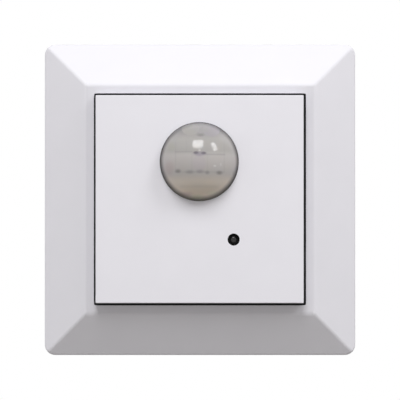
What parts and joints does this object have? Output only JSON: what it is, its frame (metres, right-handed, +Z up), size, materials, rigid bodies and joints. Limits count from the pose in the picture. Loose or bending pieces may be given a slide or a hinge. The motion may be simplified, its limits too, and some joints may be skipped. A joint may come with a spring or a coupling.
{
  "type": "motion detector",
  "caption": "Flush wall motion detector: square plate with a domed milky lens and a small light sensor, in a bevelled cover frame, on a steel support ring.",
  "frame": {"origin": "on the wall, midway between the two box screws, which is the middle of the wall box", "axes": "+Y into the wall along the box screws, so the front faces -Y; +X to the right seen from the front; +Z up"},
  "size_m": [0.0826, 0.0368, 0.0826],
  "materials": {
    "frame_white": "satin white moulding",
    "plate_white": "satin white moulding",
    "lens_milky": "milky translucent lens, glossy outside",
    "black_plastic": "fine matt moulding",
    "smoked_plastic": "polished and smoked",
    "housing_grey": "matt anthracite moulding",
    "board_green": "solder resist over laminate",
    "chip_black": "matt moulding compound",
    "ring_steel": "zinc plated",
    "spring_steel": "bright spring strip",
    "screw_steel": "passivated zinc",
    "can_metal": "nickel plated",
    "window_silicon": "coated silicon filter",
    "ceramic_white": "matt ceramic",
    "pin_brass": "plated pins",
    "pin_tin": "tinned leads",
    "chip_tan": "fired ceramic",
    "aluminium_can": "drawn can",
    "led_clear": "tinted epoxy",
    "terminal_red": "red moulding",
    "terminal_grey": "dark grey moulding",
    "dial_cream": "cream moulding",
    "trimmer_blue": "blue moulding",
    "button_grey": "light grey moulding"
  },
  "bodies": {
    "support": {"support_ring": "ring_steel", "retaining_springs": "spring_steel", "spring_rivets": "ring_steel", "mounting_screws": "screw_steel"},
    "frame": {"cover_frame": "frame_white"},
    "head": {"center_plate": "plate_white", "lens_dome": "lens_milky", "lens_retainer": "black_plastic", "sensor_sleeve": "black_plastic", "light_guide": "smoked_plastic", "photodiode": "smoked_plastic", "sensor_pcb": "board_green", "pir_can": "can_metal", "pir_base": "can_metal", "pir_window": "window_silicon", "pir_element": "ceramic_white", "pir_leads": "pin_brass", "status_led": "led_clear", "microcontroller": "chip_black", "microcontroller_pins": "pin_tin", "crystal": "can_metal", "board_socket": "black_plastic", "board_header": "black_plastic", "header_pins": "pin_brass", "bus_pcb": "board_green", "board_screws": "screw_steel", "bus_transceiver": "chip_black", "transceiver_pins": "pin_tin", "storage_capacitor": "aluminium_can", "capacitor_base": "black_plastic", "choke": "chip_black", "surge_diode": "chip_black", "chip_capacitors": "chip_tan", "chip_resistors": "chip_black", "bus_pins": "pin_tin", "programming_switch": "black_plastic", "programming_led": "led_clear", "trimmer_bodies": "trimmer_blue", "rear_housing": "housing_grey", "housing_screws": "screw_steel"},
    "programming_button": {"programming_button": "button_grey", "switch_plunger": "button_grey"},
    "sensitivity_dial": {"sensitivity_dial": "dial_cream"},
    "hold_time_dial": {"hold_time_dial": "dial_cream"},
    "bus_terminal": {"terminal_red": "terminal_red", "terminal_grey": "terminal_grey", "terminal_contacts": "pin_tin"}
  },
  "joints": [
    {"name": "frame_pull", "type": "slide", "parent": "support", "child": "frame", "axis": [0, -1, 0], "range_m": [0, 0.012]},
    {"name": "head_pull", "type": "slide", "parent": "frame", "child": "head", "axis": [0, -1, 0], "range_m": [0, 0.03]},
    {"name": "button_press", "type": "slide", "parent": "head", "child": "programming_button", "axis": [0, -1, 0], "range_m": [0, 0.0004], "stiffness_N_per_m": 1500, "springref_m": -0.0004},
    {"name": "terminal_unplug", "type": "slide", "parent": "head", "child": "bus_terminal", "axis": [0, 1, 0], "range_m": [0, 0.012]},
    {"name": "sensitivity_turn", "type": "hinge", "parent": "head", "child": "sensitivity_dial", "pos_m": [-0.0101, 0.0127, 0.006], "axis": [0, 1, 0], "range_deg": [-135, 135]},
    {"name": "hold_time_turn", "type": "hinge", "parent": "head", "child": "hold_time_dial", "pos_m": [-0.0016, 0.0127, 0.006], "axis": [0, 1, 0], "range_deg": [-135, 135]}
  ]
}
